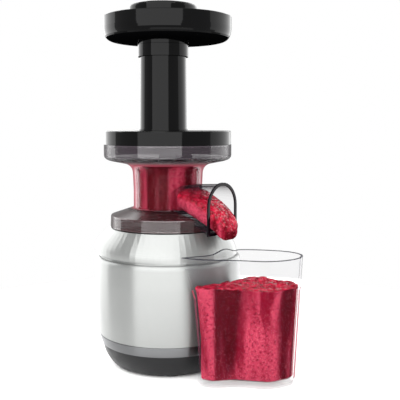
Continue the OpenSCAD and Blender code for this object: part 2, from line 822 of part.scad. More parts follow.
module rotor_core() {
    slots = 12;
    color("#5b5e63") translate([0, 0, stack_z]) difference() {
        cylinder(r = rotor_r, h = stack_h);
        translate([0, 0, -1]) cylinder(r = motor_shaft_r, h = stack_h + 2);
        for (k = [0:slots - 1]) rotate([0, 0, (k + 0.5) * 360 / slots])
            translate([rotor_r - 7, -1.2, -1]) cube([9, 2.4, stack_h + 2]);
    }
}

module rotor_windings() {
    end_h = 3;
    color("#b5622a") for (z = [stack_z - end_h - 0.02, stack_top_z + 0.02])
        translate([0, 0, z]) tube(rotor_r - 4, motor_shaft_r + 2, end_h);
}

module commutator() {
    bars = 12;
    color("#b87333") translate([0, 0, commutator_z]) difference() {
        cylinder(r = commutator_r, h = commutator_h);
        translate([0, 0, -1]) cylinder(r = motor_shaft_r, h = commutator_h + 2);
        for (k = [0:bars - 1]) rotate([0, 0, k * 360 / bars])
            translate([commutator_r - 0.8, -0.3, -1]) cube([2, 0.6, commutator_h + 2]);
    }
}

module cooling_fan() {
    hub = 8;
    blade_t = 1.4;
    color("#3c6e8f") translate([0, 0, fan_z]) difference() {
        union() {
            cylinder(r = hub, h = fan_h);
            cylinder(r = fan_r, h = 1.2);
            for (k = [0:fan_blades - 1]) rotate([0, 0, k * 360 / fan_blades])
                translate([hub - 2, -blade_t / 2, 0.5]) cube([fan_r - hub, blade_t, fan_h - 1.5]);
        }
        translate([0, 0, -1]) cylinder(r = motor_shaft_r, h = fan_h + 2);
    }
}

module motor_pinion() {
    color("#8a8d91") translate([0, 0, first_stage_z - 0.5])
        gear(pinion_teeth, fine_module, fine_face_w + 1, motor_shaft_r);
}

// ---- electrical pieces ----
rocker_y = drum_r - 5.5;
rocker_w = switch_w - 5.4;
frame_front_y = drum_r + 0.4;
bezel_h = 1.4;

module switch_frame() {
    hollow = [rocker_w + 0.6, 2 * rocker_r + 0.8];
    low_y = rocker_y - 9;
    color("#1a1a1a") difference() {
        union() {
            translate([-switch_w / 2, low_y, switch_z - switch_h / 2])
                cube([switch_w, frame_front_y - low_y, switch_h]);
            translate([-switch_w / 2 - 1.5, frame_front_y - bezel_h, switch_z - switch_h / 2 - 1.5])
                cube([switch_w + 3, bezel_h, switch_h + 3]);
        }
        translate([-hollow[0] / 2, low_y + 1.5, switch_z - hollow[1] / 2])
            cube([hollow[0], 40, hollow[1]]);
        translate([-switch_w / 2 + 0.8, rocker_y, switch_z]) rotate([0, 90, 0])
            cylinder(r = rocker_pin_r + shaft_gap, h = switch_w - 1.6, $fn = 48);
    }
}

module switch_rocker() {
    face = [[-3, -3.4], [-3, 3.4], [2.4, 7.2], [5, 5.8], [3.6, 0], [5, -5.8], [2.4, -7.2]];
    scale_r = rocker_r / 8;
    pin_l = switch_w - 2.2;
    color("#2b2b2b") translate([0, rocker_y, switch_z]) {
        translate([-rocker_w / 2, 0, 0]) rotate([90, 0, 90])
            linear_extrude(rocker_w) polygon(face * scale_r);
        translate([-pin_l / 2, 0, 0]) rotate([0, 90, 0]) cylinder(r = rocker_pin_r, h = pin_l, $fn = 48);
    }
}

module cord_gland() {
    low_y = 60;
    high_y = 82;
    wall_y = 76.4;
    color("#1a1a1a") translate([0, low_y, gland_z]) rotate([-90, 0, 0]) difference() {
        union() {
            cylinder(r = gland_r, h = high_y - low_y);
            translate([0, 0, wall_y - low_y]) cylinder(r = gland_r + 2.5, h = 2);
        }
        translate([0, 0, -1]) cylinder(r = gland_bore_r, h = high_y - low_y + 2);
    }
}

board_size = [1.6, 40, 46];
board_x = stator_r + can_wall + 9.5;
// Place along and up the board, then depth, width and height of each part on it
board_parts = [[4, 12, 10, 16, 14], [24, 12, 7, 10, 22], [6, 30, 8, 12, 8]];
capacitor_r = 7.5;
capacitor_h = 38;
capacitor_x = -(stator_r + can_wall + 0.8 + capacitor_r);

module control_board() {
    color("#2f7a4a") translate([board_x, -board_size[1] / 2, pan_floor_z + 0.02]) {
        cube(board_size);
        for (p = board_parts) translate([board_size[0] - 0.1, p[0], p[1]]) cube([p[2], p[3], p[4]]);
    }
}

module capacitor() {
    color("#c8c8c8") translate([capacitor_x, 0, pan_floor_z + 0.02]) {
        cylinder(r = capacitor_r, h = capacitor_h);
        translate([0, 0, capacitor_h - 0.1]) for (y = [-3, 3]) translate([0, y, 0]) cylinder(r = 1, h = 5);
    }
}

module interlock_switch() {
    case_size = [14, 6, 8];
    color("#333333") translate([deck_leg_r - 3 - case_size[0], -3, deck_low_z - case_size[2] - 1]) {
        cube(case_size);
        translate([6, 3, case_size[2] - 0.1]) cylinder(r = 1.5, h = 3, $fn = 32);
    }
}

// ---- bowl, strainer and auger ----
cone_z = skirt_top_z + 9.2;
ring_low_z = ring_top_z - ring_h;
bowl_outline = concat(
    [[spigot_r, spigot_top_z], [spigot_r, ring_top_z], [ring_r, ring_top_z]],
    arc([ring_r, ring_low_z + 2], [ring_r, ring_low_z - 3], [ring_r - 8, ring_low_z - 4.8], 6),
    arc([neck_r + 14, neck_top_z + 6.4], [neck_r + 1.6, neck_top_z + 5], [neck_r + 0.9, neck_top_z - 5], 8),
    [[neck_r, neck_top_z - 24], [neck_r, bowl_floor_z - bowl_floor_h]]);

bowl_cavity = concat(
    [[hub_r + hub_seal_wall, bowl_floor_z - bowl_floor_h], [hub_r + hub_seal_wall, bowl_floor_z],
     [neck_inner_r, bowl_floor_z], [neck_inner_r, neck_top_z - 24]],
    reversed(arc([neck_r + 14, neck_top_z + 6.4 + bowl_wall], [neck_r + 0.8, neck_top_z + 5 + bowl_wall],
                 [neck_r + 0.9 - bowl_wall, neck_top_z - 5], 8)),
    reversed(arc([ring_r - bowl_wall, ring_low_z + 2], [ring_r - bowl_wall, ring_low_z - 1.4],
                 [ring_r - 8, ring_low_z - 4.8 + bowl_wall], 6)),
    [[ring_r - bowl_wall, ring_top_z - 2.4], [spigot_r - 2.2, ring_top_z - 2.4],
     [spigot_r - 2.2, spigot_top_z]]);

// The skirt is one moulding with the neck, and starts a hair outside its round face
moulded_gap = 0.02;
skirt_profile = [
    [neck_r + moulded_gap, cone_z], [skirt_r - 0.6, skirt_top_z + 0.5],
    [skirt_r, skirt_top_z - 0.5], [skirt_r + 0.4, skirt_low_z],
    [skirt_r + 0.4 - bowl_wall, skirt_low_z], [skirt_r - bowl_wall, skirt_top_z - 3],
    [neck_r + moulded_gap, cone_z - bowl_wall - 1.2]];

// Arched section: straight sides, and a roof rounded with radius round_r
function arch(half_w, top, low, round_r) = concat(
    [[-half_w, low], [half_w, low]],
    [for (a = [0:10:90]) [half_w - round_r + round_r * cos(a), top - round_r + round_r * sin(a)]],
    [for (a = [90:10:180]) [-half_w + round_r + round_r * cos(a), top - round_r + round_r * sin(a)]]);

// Thin slice of the arch standing at distance s along the spout
module arch_slice(s, half_w, top, low, round_r, thick = 0.01) {
    translate([0, -s, 0]) rotate([90, 0, 0]) linear_extrude(thick) polygon(arch(half_w, top, low, round_r));
}

spout_root_s = 18;
floor_slope = 0.47;
root_low_z = mouth_low_z + (spout_reach - spout_root_s) * floor_slope;

module spout_body(inset, past = 0) {
    hull() {
        arch_slice(spout_root_s, root_half_w - inset, root_top_z - inset, root_low_z + inset, 13);
        arch_slice(spout_reach, mouth_half_w - inset, mouth_top_z - inset, mouth_low_z + inset,
                   mouth_half_w - inset - 0.01, 0.01 + past);
    }
}

// Outer form of the spout, which ends at the neck's inner wall, or past it to cut an opening
module spout_form(past = 0) {
    difference() {
        union() {
            spout_body(0);
            arch_slice(spout_reach - 1.6, mouth_half_w + bead, mouth_top_z + bead,
                       mouth_low_z - 0.5, mouth_half_w + bead - 0.01, 2);
        }
        translate([0, 0, bowl_floor_z + past]) cylinder(r = neck_inner_r - past, h = 60);
        translate([0, 0, bowl_floor_z - 30]) cylinder(r = neck_inner_r - 3, h = 30.5);
    }
}

module bowl() {
    color([0.35, 0.25, 0.3, 0.5]) difference() {
        rotate_extrude() polygon(concat(bowl_outline, bowl_cavity));
        spout_form(1);
    }
}

module bowl_skirt() {
    color([0.35, 0.25, 0.3, 0.5]) difference() {
        rotate_extrude() polygon(skirt_profile);
        spout_form(1);
    }
}

module spout() {
    color([0.35, 0.25, 0.3, 0.5]) difference() {
        spout_form();
        spout_body(spout_wall, 2);
    }
}

module strainer() {
    h = strainer_top_z - strainer_low_z;
    slot_h = h - 16;
    color("#b9bcc0") translate([0, 0, strainer_low_z]) difference() {
        union() {
            tube(strainer_outer_r, strainer_inner_r, h);
            translate([0, 0, h - 2]) tube(strainer_outer_r + 1.8, strainer_inner_r, 2);
        }
        for (k = [0:strainer_slots / 2 - 1]) rotate([0, 0, (k + 0.5) * 360 / strainer_slots])
            translate([-50, -slot_w / 2, 6]) cube([100, slot_w, slot_h]);
    }
}

module hub_seal() {
    color("#d8d8d8") translate([0, 0, bowl_floor_z - bowl_floor_h])
        tube(hub_r + hub_seal_wall - 0.01, hub_r + shaft_gap, hub_seal_h);
}

// One cross section of the flight at height z, turned to angle a
function flight_ring(a, z, reach) = concat(
    [for (b = [-30:10:30]) [reach * cos(a + b), reach * sin(a + b), z]],
    [for (b = [40:-20:-40]) [7 * cos(a + b), 7 * sin(a + b), z]]);

module auger() {
    steps = 48;
    reach_fall = 0.08;
    flight = [for (i = [0:steps]) let (t = i / steps)
        flight_ring(360 * flight_turns * t, flight_low_z - 1 + (flight_h - 4) * t,
                    auger_r * (1 - reach_fall * t))];
    color("#2c2c2e") difference() {
        union() {
            translate([0, 0, hub_low_z]) cylinder(r = hub_r, h = auger_base_z - hub_low_z + 0.5);
            translate([0, 0, auger_base_z]) cylinder(r = auger_r + 0.2, h = auger_base_h);
            translate([0, 0, flight_low_z - eps]) cylinder(r1 = 19, r2 = 9, h = flight_h, $fn = 64);
            skin(flight);
            translate([0, 0, top_pin_z - 0.1]) cylinder(r = top_pin_r, h = top_pin_h);
        }
        translate([0, 0, hub_low_z - 1]) cylinder(d = hex_d + 0.5, h = hex_h + 2.2, $fn = 6);
    }
}

// ---- lid, tray and pusher ----
pin_hole_z = top_pin_z + top_pin_h + 1;
boss_low_z = top_pin_z + 4.5;

module lid() {
    rib_angle = atan2(tube_y, tube_x) + 180;
    rib_h = 9;
    hook_low_z = ring_low_z + 4;
    color("#161617") {
        difference() {
            union() {
                rotate_extrude() polygon([
                    [0, lid_roof_z], [lid_r - lid_wall, lid_roof_z], [lid_r - lid_wall, lid_low_z],
                    [lid_r, lid_low_z], [lid_r, lid_top_z - 0.8], [lid_r - 0.8, lid_top_z], [0, lid_top_z]]);
                translate([0, 0, lid_roof_z - lid_skirt_h])
                    tube(lid_skirt_r, lid_skirt_r - lid_wall + 0.4, lid_skirt_h + 1);
            }
            translate([tube_x, tube_y, lid_roof_z - 1])
                cylinder(r = tube_bore_r, h = lid_top_z - lid_roof_z + 2);
        }
        difference() {
            union() {
                translate([0, 0, boss_low_z])
                    cylinder(r = boss_under_lid_r, h = lid_top_z - 0.5 - boss_low_z);
                rotate([0, 0, rib_angle]) translate([boss_under_lid_r - 1, -2, lid_roof_z - rib_h])
                    cube([22, 4, rib_h + eps]);
            }
            translate([0, 0, boss_low_z - 1])
                cylinder(r = top_pin_r + shaft_gap, h = pin_hole_z - boss_low_z + 1);
        }
        for (a = hook_angles) rotate([0, 0, a]) {
            translate([spigot_r - 6, -5, hook_low_z]) cube([3, 10, lid_roof_z - hook_low_z + eps]);
            translate([spigot_r - 8.5, -5, hook_low_z]) cube([4, 10, 3.5]);
        }
    }
}

module feed_tube() {
    color("#161617") translate([tube_x, tube_y, 0]) difference() {
        union() {
            translate([0, 0, lid_top_z]) cylinder(r = tube_low_r + 1, h = 2);
            translate([0, 0, lid_top_z + 1])
                cylinder(r1 = tube_low_r, r2 = tube_top_r, h = collar_z - lid_top_z - 0.9);
            translate([0, 0, collar_z]) cylinder(r = collar_r, h = tube_end_z - collar_z);
        }
        translate([0, 0, lid_top_z - 1]) cylinder(r = tube_bore_r, h = tube_end_z - lid_top_z + 2);
        translate([0, 0, tube_end_z - socket_h - 0.3]) cylinder(r = socket_r + socket_gap, h = socket_h + 1);
    }
}

module lid_seal() {
    z = spigot_top_z + 0.15;
    color("#d8d8d8") translate([0, 0, z]) tube(lid_r - lid_wall - 0.1, spigot_r - 2.6, lid_roof_z - z - 0.02);
}

module food_tray() {
    outer = concat(
        [[0, tray_low_z]],
        arc([tray_r - 12, tray_low_z], [tray_r - 0.8, tray_low_z + 0.2], [tray_r, tray_low_z + 14.6]),
        [[tray_r, tray_top_z - 0.6], [tray_r - 0.6, tray_top_z]]);
    inner = concat([[tray_r - tray_wall + 0.4, tray_top_z]],
                   reversed(arc([tray_r - 13, tray_low_z + tray_wall],
                                [tray_r - tray_wall - 1, tray_low_z + tray_wall + 0.2],
                                [tray_r - tray_wall, tray_low_z + 15])),
                   [[0, tray_low_z + tray_wall]]);
    neck_z = tube_end_z + socket_gap;
    spigot_z = tube_end_z - socket_h;
    color("#161617") difference() {
        union() {
            rotate_extrude() polygon(concat(outer, inner));
            translate([tube_x, tube_y, neck_z]) cylinder(r = collar_r - 0.3, h = tray_low_z - neck_z + 0.5);
            translate([tube_x, tube_y, spigot_z]) cylinder(r = socket_r, h = tray_low_z - spigot_z + 0.5);
        }
        translate([tube_x, tube_y, spigot_z - 1]) cylinder(r = tube_bore_r, h = 40);
    }
}

cap_low_z = tray_low_z + tray_wall + 0.3;

module pusher_stem() {
    high_z = cap_top_z - pusher_wall - 0.02;
    color("#1b1b1c") translate([tube_x, tube_y, 0]) difference() {
        translate([0, 0, stem_low_z]) cylinder(r = stem_r, h = high_z - stem_low_z);
        translate([0, 0, stem_low_z + pusher_wall])
            cylinder(r = stem_r - pusher_wall, h = high_z - stem_low_z);
    }
}

module pusher_cap() {
    outer = concat(
        [[cap_r, cap_low_z]],
        arc([cap_r, cap_top_z - 4.5], [cap_r, cap_top_z], [cap_r - 6, cap_top_z], 6),
        [[0, cap_top_z]]);
    inner = [[0, cap_top_z - pusher_wall], [cap_r - 6, cap_top_z - pusher_wall],
             [cap_r - pusher_wall, cap_top_z - 6], [cap_r - pusher_wall, cap_low_z]];
    color("#161617") translate([tube_x, tube_y, 0]) rotate_extrude() polygon(concat(outer, inner));
}

// ---- jug ----
// Point between b and c of the smooth curve through a, b, c and d
function curve_point(a, b, c, d, t) =
    0.5 * (2 * b + (c - a) * t + (2 * a - 5 * b + 4 * c - d) * t * t + (3 * b - a - 3 * c + d) * t * t * t);

function smooth_chain(p, steps = 2) =
    [for (i = [1:len(p) - 3]) for (j = [0:steps - 1])
        curve_point(p[i - 1], p[i], p[i + 1], p[i + 2], j / steps)];

// Points of the outer side at the rim and at the foot, from the far corner round to the lip
jug_rim = [[86, -38.8], [112, -44], [134, -55], [144, -73], [139, -93], [122, -107], [100, -112.3],
           [74, -105.5], [50, -103], [31, -97.5]];
jug_base = [[93, -48], [112, -52], [128, -62], [136, -76], [132.5, -89], [121.2, -96.9], [103.8, -102.8],
            [72, -94], [52, -97.5], [41, -95]];
jug_lip_rim = [14.8, -88];
jug_lip_base = [32, -88];
// How late the lip leaves the upright wall: 1 leans out evenly, and more curls out near the rim
jug_lip_curl = 3.5;
hollow_from = 19;
hollow_to = 62;

// Outline at level t, from 0 at the base to 1 at the rim, about the drum's axis
function jug_outline(t) =
    let (r = jug_hollow_r + (1 - t) * 5,
         from = hollow_from + (1 - t) * 7,
         hollow = [for (a = [from:(hollow_to - from) / 12:hollow_to + 0.001]) r * [sin(a), -cos(a)]],
         outer = [for (i = [0:len(jug_rim) - 1]) jug_base[i] * (1 - t) + jug_rim[i] * t],
         curl = pow(t, jug_lip_curl),
         lip = jug_lip_base * (1 - curl) + jug_lip_rim * curl,
         chain = smooth_chain(concat([hollow[11], hollow[12]], outer, [lip, hollow[0]])))
    concat(hollow, [for (i = [1:len(chain) - 1]) chain[i]], [lip]);

// Outline moved inwards by d along its normals
function inset_outline(p, d) =
    let (n = len(p))
    [for (i = [0:n - 1])
        let (along = p[(i + 1) % n] - p[(i + n - 1) % n], l = norm(along))
        p[i] + d * [along[1], -along[0]] / l];

// Outline as a ring at height z, turned the way skin() expects
function raised(p, z) = reversed([for (q = p) [q[0], q[1], z]]);

// Height of the rim: a soft peak in the middle of the hollow side
function rim_height(q) =
    let (a = atan2(q[0], -q[1]), near = norm(q) < jug_hollow_r + 3 ? 1 : 0,
         reach = min(1, abs(a - (hollow_from + hollow_to) / 2 - 4) / 14))
    jug_h + near * jug_peak * (1 + cos(180 * reach)) / 2;

module jug() {
    levels = 3;
    foot = inset_outline(jug_outline(0), 2.4);
    low = raised(inset_outline(jug_outline(0), 1.6), jug_foot_h + 0.2);
    outer = [for (k = [0:levels - 1]) let (t = k / levels)
        raised(jug_outline(t), jug_foot_h + 1.8 + t * (jug_h - jug_foot_h))];
    rim = jug_outline(1);
    inner_rim = inset_outline(rim, jug_wall);
    rim_out = reversed([for (q = rim) [q[0], q[1], rim_height(q)]]);
    rim_in = reversed([for (i = [0:len(rim) - 1]) [inner_rim[i][0], inner_rim[i][1], rim_height(rim[i])]]);
    inner = [for (k = [levels - 1:-1:0]) let (t = k / levels)
        raised(inset_outline(jug_outline(t), jug_wall),
               jug_foot_h + jug_floor + 1.4 + t * (jug_h - jug_foot_h))];
    floor_ring = raised(inset_outline(jug_outline(0), jug_wall + 1.6), jug_foot_h + jug_floor);
    color([0.85, 0.85, 0.95, 0.35]) rotate([0, 0, -jug_view]) {
        skin(concat([raised(foot, 0), raised(foot, jug_foot_h), low], outer,
                    [rim_out, rim_in], inner, [floor_ring]));
    }
}

// ---- placing ----
// The footprint reaches from the jug in front to the shoulder's bulge or the switch behind
front_y = min([for (t = [0, 1]) for (q = jug_outline(t)) q[1] * cos(jug_view) - q[0] * sin(jug_view)]);
back_y = max(bulge_r + bulge_back, frame_front_y);
axis_y = -round(10 * (front_y + back_y) / 2) / 10;

module placed() {
    translate([0, axis_y, 0]) children();
}

placed() foot_pads();
placed() base_pan();
placed() base_screws();
placed() trim_band();
placed() body_shell();
placed() shoulder_shell();
placed() top_deck();
placed() gearbox_housing();
placed() gearbox_mid_plate();
placed() gearbox_cover();
placed() gearbox_screws();
placed() motor_bracket();
placed() stator_core();
placed() field_windings();
placed() motor_bearings();
placed() brush_holders();
placed() brushes();
placed() brush_springs();
placed() layshaft_bushes();
placed() output_bearings();
placed() drive_seal();
placed() switch_frame();
placed() cord_gland();
placed() control_board();
placed() capacitor();
placed() interlock_switch();
placed() motor_shaft();
placed() rotor_core();
placed() rotor_windings();
placed() commutator();
placed() cooling_fan();
placed() motor_pinion();
placed() layshaft_one();
placed() first_wheel();
placed() second_pinion();
placed() layshaft_two();
placed() second_wheel();
placed() third_pinion();
placed() output_wheel();
placed() output_shaft();
placed() switch_rocker();
placed() bowl();
placed() bowl_skirt();
placed() spout();
placed() strainer();
placed() hub_seal();
placed() auger();
placed() lid();
placed() feed_tube();
placed() lid_seal();
placed() food_tray();
placed() pusher_stem();
placed() pusher_cap();
placed() jug();
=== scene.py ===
# %% [markdown]
# # A vertical slow juicer
# The machine's shapes come packed from CAD, and this lesson dresses them: it gives each
# piece a finish, makes the fruit puree that no CAD solid holds, and sets the studio.
# Every length is in metres, so a size in millimetres is written with MM, and every piece
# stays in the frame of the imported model.

# %% Load the frame
import json
import math

import bmesh
import bpy
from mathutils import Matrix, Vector, noise


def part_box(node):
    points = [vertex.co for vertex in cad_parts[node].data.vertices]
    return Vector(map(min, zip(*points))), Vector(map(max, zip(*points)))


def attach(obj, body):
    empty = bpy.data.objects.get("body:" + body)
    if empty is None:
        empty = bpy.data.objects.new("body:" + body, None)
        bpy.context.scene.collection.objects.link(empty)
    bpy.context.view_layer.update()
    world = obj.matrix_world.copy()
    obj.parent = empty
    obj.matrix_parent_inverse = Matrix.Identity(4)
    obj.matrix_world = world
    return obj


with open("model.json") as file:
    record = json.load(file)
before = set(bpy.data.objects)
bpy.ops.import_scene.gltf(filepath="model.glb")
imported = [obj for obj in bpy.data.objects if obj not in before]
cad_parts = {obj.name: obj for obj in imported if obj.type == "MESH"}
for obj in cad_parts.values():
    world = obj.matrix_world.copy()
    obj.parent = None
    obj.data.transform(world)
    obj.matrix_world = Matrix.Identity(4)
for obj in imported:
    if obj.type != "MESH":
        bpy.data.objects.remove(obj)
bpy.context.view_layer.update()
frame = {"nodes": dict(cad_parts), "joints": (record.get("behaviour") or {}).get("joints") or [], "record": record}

nodes = frame["nodes"]
for plain in list(bpy.data.materials):
    bpy.data.materials.remove(plain)
scene = bpy.context.scene
MM = 0.001
axis_y = next(j["pos_m"][1] for j in frame["joints"] if j["name"] == "drive_turn")
drum_axis = Vector((0, axis_y, 0))

# %% [markdown]
# ## Camera
# The photograph was taken almost level, from the left of the spout. A long lens keeps the
# round trays from opening too far. A camera that looks slightly down could frame the whole
# machine alone, but it would pull the upright lines together, so a small shift of the
# sensor takes part of that work.

# %% Camera
camera_azimuth = math.radians(-50)
camera_distance = 0.838
camera_side = 0.0089
camera_height = 0.2768
camera_turn = math.radians(-1.93)
camera_pitch = math.radians(3.54)
focal_px = 726.4
frame_px = 400
sensor_mm = 36
sensor_shift = -0.08
far_clip = 60

camera_data = bpy.data.cameras.new("camera")
camera_data.sensor_width = sensor_mm
camera_data.lens = focal_px / frame_px * sensor_mm
camera_data.shift_y = sensor_shift
camera_data.clip_end = far_clip
camera = bpy.data.objects.new("camera", camera_data)
scene.collection.objects.link(camera)
towards_camera = Vector((math.sin(camera_azimuth), -math.cos(camera_azimuth), 0))
to_the_right = Vector((math.cos(camera_azimuth), math.sin(camera_azimuth), 0))
camera.location = (drum_axis + towards_camera * camera_distance + to_the_right * camera_side
                   + Vector((0, 0, camera_height)))
camera.rotation_euler = (math.pi / 2 - camera_pitch, 0, camera_azimuth + camera_turn)
scene.camera = camera
print("lens", round(camera_data.lens, 2), "mm at", [round(v, 3) for v in camera.location])

# %% [markdown]
# ## Writing materials as sums
# A node tree is easier to read as arithmetic. `Wire` holds one output of a node, and adding
# or multiplying wires makes the Math nodes. Sums of plain numbers stay in Python.

# %% A wire with arithmetic
class Wire:
    """One output socket, on which sums make Math nodes."""

    def __init__(self, paint, socket):
        self.paint = paint
        self.socket = socket

    def _math(self, operation, first, second):
        return self.paint.node("ShaderNodeMath", {"operation": operation}, {0: first, 1: second})

    def __add__(self, other):
        return self._math("ADD", self, other)

    def __rsub__(self, other):
        return self._math("SUBTRACT", other, self)

    def __mul__(self, other):
        return self._math("MULTIPLY", self, other)

    def __rmul__(self, other):
        return self._math("MULTIPLY", other, self)

    def __pow__(self, other):
        return self._math("POWER", self, other)

    def out(self, name):
        return Wire(self.paint, self.socket.node.outputs[name])


# %% A material and its node tree
class Paint:
    """A material with one main shader, set by plain values and by wires."""

    def __init__(self, name, **settings):
        self.material = bpy.data.materials.new(name)
        self.material.use_nodes = True
        self.tree = self.material.node_tree
        self.shader = self.tree.nodes["Principled BSDF"]
        for key, value in settings.items():
            self.set(key, value)

    def node(self, kind, settings=None, sockets=None):
        made = self.tree.nodes.new(kind)
        for key, value in (settings or {}).items():
            setattr(made, key, value)
        for key, value in (sockets or {}).items():
            self._plug(made.inputs[key], value)
        return Wire(self, made.outputs[0])

    def _plug(self, socket, value):
        if isinstance(value, Wire):
            self.tree.links.new(value.socket, socket)
        else:
            socket.default_value = value

    def set(self, key, value):
        """Key is the socket's name in lower case, with underscores for its spaces."""
        names = {s.name.lower().replace(" ", "_"): s.name for s in self.shader.inputs}
        self._plug(self.shader.inputs[names[key]], value)

    def cloud(self, size, detail=2, stretch=(1, 1, 1), rough=0.5, shift=(0, 0, 0)):
        """Noise from 0 to 1 on the piece, whose lumps are about size metres across."""
        here = self.node("ShaderNodeTexCoord").out("Object")
        placed = self.node("ShaderNodeMapping", {}, {
            "Vector": here, "Scale": stretch, "Location": shift})
        return self.node("ShaderNodeTexNoise", {}, {
            "Vector": placed, "Scale": 1 / size, "Detail": detail, "Roughness": rough})

    def part_of(self, vector, axis):
        return self.node("ShaderNodeSeparateXYZ", {}, {"Vector": vector}).out(axis)

    def place(self, axis):
        """How far along X, Y or Z a point of the piece lies."""
        return self.part_of(self.node("ShaderNodeTexCoord").out("Object"), axis)

    def faces_up(self):
        """1 where the surface faces up, 0 where it stands upright and -1 where it faces down."""
        return self.part_of(self.node("ShaderNodeNewGeometry").out("Normal"), "Z")

    def facing(self):
        """0 where the surface faces the eye and 1 at its edge."""
        return self.node("ShaderNodeLayerWeight", {}, {"Blend": 0.5}).out("Facing")

    def fade(self, value, low, high, out_low=0.0, out_high=1.0):
        """Value taken from low..high to out_low..out_high, softly, and held there."""
        ramp = self.node("ShaderNodeMapRange", {"interpolation_type": "SMOOTHSTEP"})
        for k, v in enumerate((value, low, high, out_low, out_high)):
            self._plug(ramp.socket.node.inputs[k], v)
        return ramp

    def between(self, value, low, low_full, high_full, high):
        """1 from low_full to high_full, and softly down to 0 at low and at high."""
        return self.fade(value, low, low_full) * self.fade(value, high_full, high, 1.0, 0.0)

    def blend(self, mask, first, second):
        """Colour that goes from first to second with mask."""
        made = self.tree.nodes.new("ShaderNodeMix")
        made.data_type = "RGBA"
        # the node's colours are its inputs 6 and 7 and its output 2
        self._plug(made.inputs[0], mask)
        for k, colour in ((6, first), (7, second)):
            self._plug(made.inputs[k], colour if isinstance(colour, Wire) else (*colour, 1))
        return Wire(self, made.outputs[2])

    def bump(self, height, depth):
        """Relief: height from 0 to 1 stands for depth metres."""
        self.set("normal", self.node("ShaderNodeBump", {}, {
            "Height": height, "Distance": depth, "Strength": 1.0}))


def shade(colour, factor):
    return [min(1, channel * factor) for channel in colour]


# %% [markdown]
# ## Finishes
# Each finish is what the real one is: moulded plastic has a faint waviness that bends the
# lamps' reflections, paint has fine flakes and orange peel, turned steel has fine rings. A
# flat colour alone would look like a drawing.
#
# The gloss black pieces are polished only where they show. Their undersides are dull, so
# they stay black instead of mirroring the pale table.

# %% Moulded plastics
wave_depth = 0.02 * MM


def moulded(name, colour, roughness, grain=0.0, polished=False, **more):
    """Injection-moulded plastic: slow waves, fine scuffs and an optional grain."""
    paint = Paint(name, **more)
    scuffs = paint.cloud(12 * MM, 4)
    paint.set("base_color", paint.blend(scuffs, shade(colour, 0.8), shade(colour, 1.25)))
    sheen = paint.fade(scuffs, 0.3, 0.75, roughness, roughness * 1.35 + 0.02)
    if polished:
        sheen = sheen + paint.fade(paint.facing(), 0.8, 0.95, 0.0, 0.3)
        dull_underside(paint, colour)
    paint.set("roughness", sheen)
    depth = max(wave_depth, grain)
    relief = paint.cloud(30 * MM, 1) * (wave_depth / depth)
    if grain:
        relief = relief + paint.cloud(0.7 * MM, 2) * (grain / depth)
    paint.bump(relief, depth)
    return paint.material


def dull_underside(paint, colour):
    """Mixes in a shader without gloss where the surface faces down."""
    dull = paint.node("ShaderNodeBsdfPrincipled", {}, {
        "Base Color": (*colour, 1), "Roughness": 1.0, "Specular IOR Level": 0.0})
    both = paint.node("ShaderNodeMixShader", {}, {
        0: paint.fade(0 - paint.faces_up(), 0.42, 0.7),
        1: Wire(paint, paint.shader.outputs[0]), 2: dull})
    paint.tree.links.new(both.socket, paint.tree.nodes["Material Output"].inputs["Surface"])


plastics = [
    moulded("gloss_black", (0.0008, 0.0008, 0.0009), 0.05, polished=True,
            ior=1.5, specular_ior_level=0.1),
    moulded("dark_base", (0.0045, 0.0045, 0.005), 0.34, 0.03 * MM, specular_ior_level=0.2),
    moulded("auger_grey", (0.02, 0.02, 0.022), 0.4, 0.02 * MM),
    moulded("black_rubber", (0.015, 0.015, 0.015), 0.72, 0.04 * MM),
    moulded("silicone", (0.62, 0.62, 0.6), 0.5, 0.02 * MM),
    moulded("gear_nylon", (0.72, 0.68, 0.56), 0.45, 0.02 * MM),
    moulded("board_green", (0.02, 0.12, 0.05), 0.4, 0.02 * MM),
    moulded("fan_blue", (0.03, 0.11, 0.18), 0.38),
    moulded("carbon", (0.02, 0.02, 0.021), 0.6, 0.03 * MM)]
print("moulded", [m.name for m in plastics])

# %% Painted metal
def satin_paint(name, colour, roughness, metallic):
    """Silver paint: fine flakes under a clear coat with faint orange peel."""
    paint = Paint(name, metallic=metallic, anisotropic=0.95, anisotropic_rotation=0.25)
    flakes = paint.cloud(0.4 * MM, 3, rough=0.7)
    drift = paint.cloud(50 * MM, 2)
    paint.set("base_color", paint.blend(flakes, shade(colour, 0.92), shade(colour, 1.06)))
    paint.set("roughness", paint.fade(drift, 0.3, 0.7, roughness, roughness + 0.04))
    paint.bump(flakes * 0.35 + paint.cloud(4 * MM, 1) * 0.65, 0.012 * MM)
    return paint.material


paints = [
    satin_paint("satin_silver", (0.215, 0.22, 0.215), 0.33, 0.8),
    satin_paint("grey_band", (0.13, 0.132, 0.135), 0.36, 1.0)]
print("painted", [m.name for m in paints])

# %% Bare metals
round_marks, even_marks = (0.05, 0.05, 1), (1, 1, 1)


def bare_metal(name, colour, roughness, marks_stretch=round_marks):
    """Turned or drawn metal: fine marks round the axis or even ones, and a slow change of sheen."""
    paint = Paint(name, metallic=1.0)
    marks = paint.cloud(1.5 * MM, 3, marks_stretch)
    sheen = paint.cloud(20 * MM, 2)
    paint.set("base_color", paint.blend(sheen, shade(colour, 0.85), shade(colour, 1.1)))
    paint.set("roughness", paint.fade(marks, 0.25, 0.75, roughness, roughness + 0.15))
    paint.bump(marks, 0.01 * MM)
    return paint.material


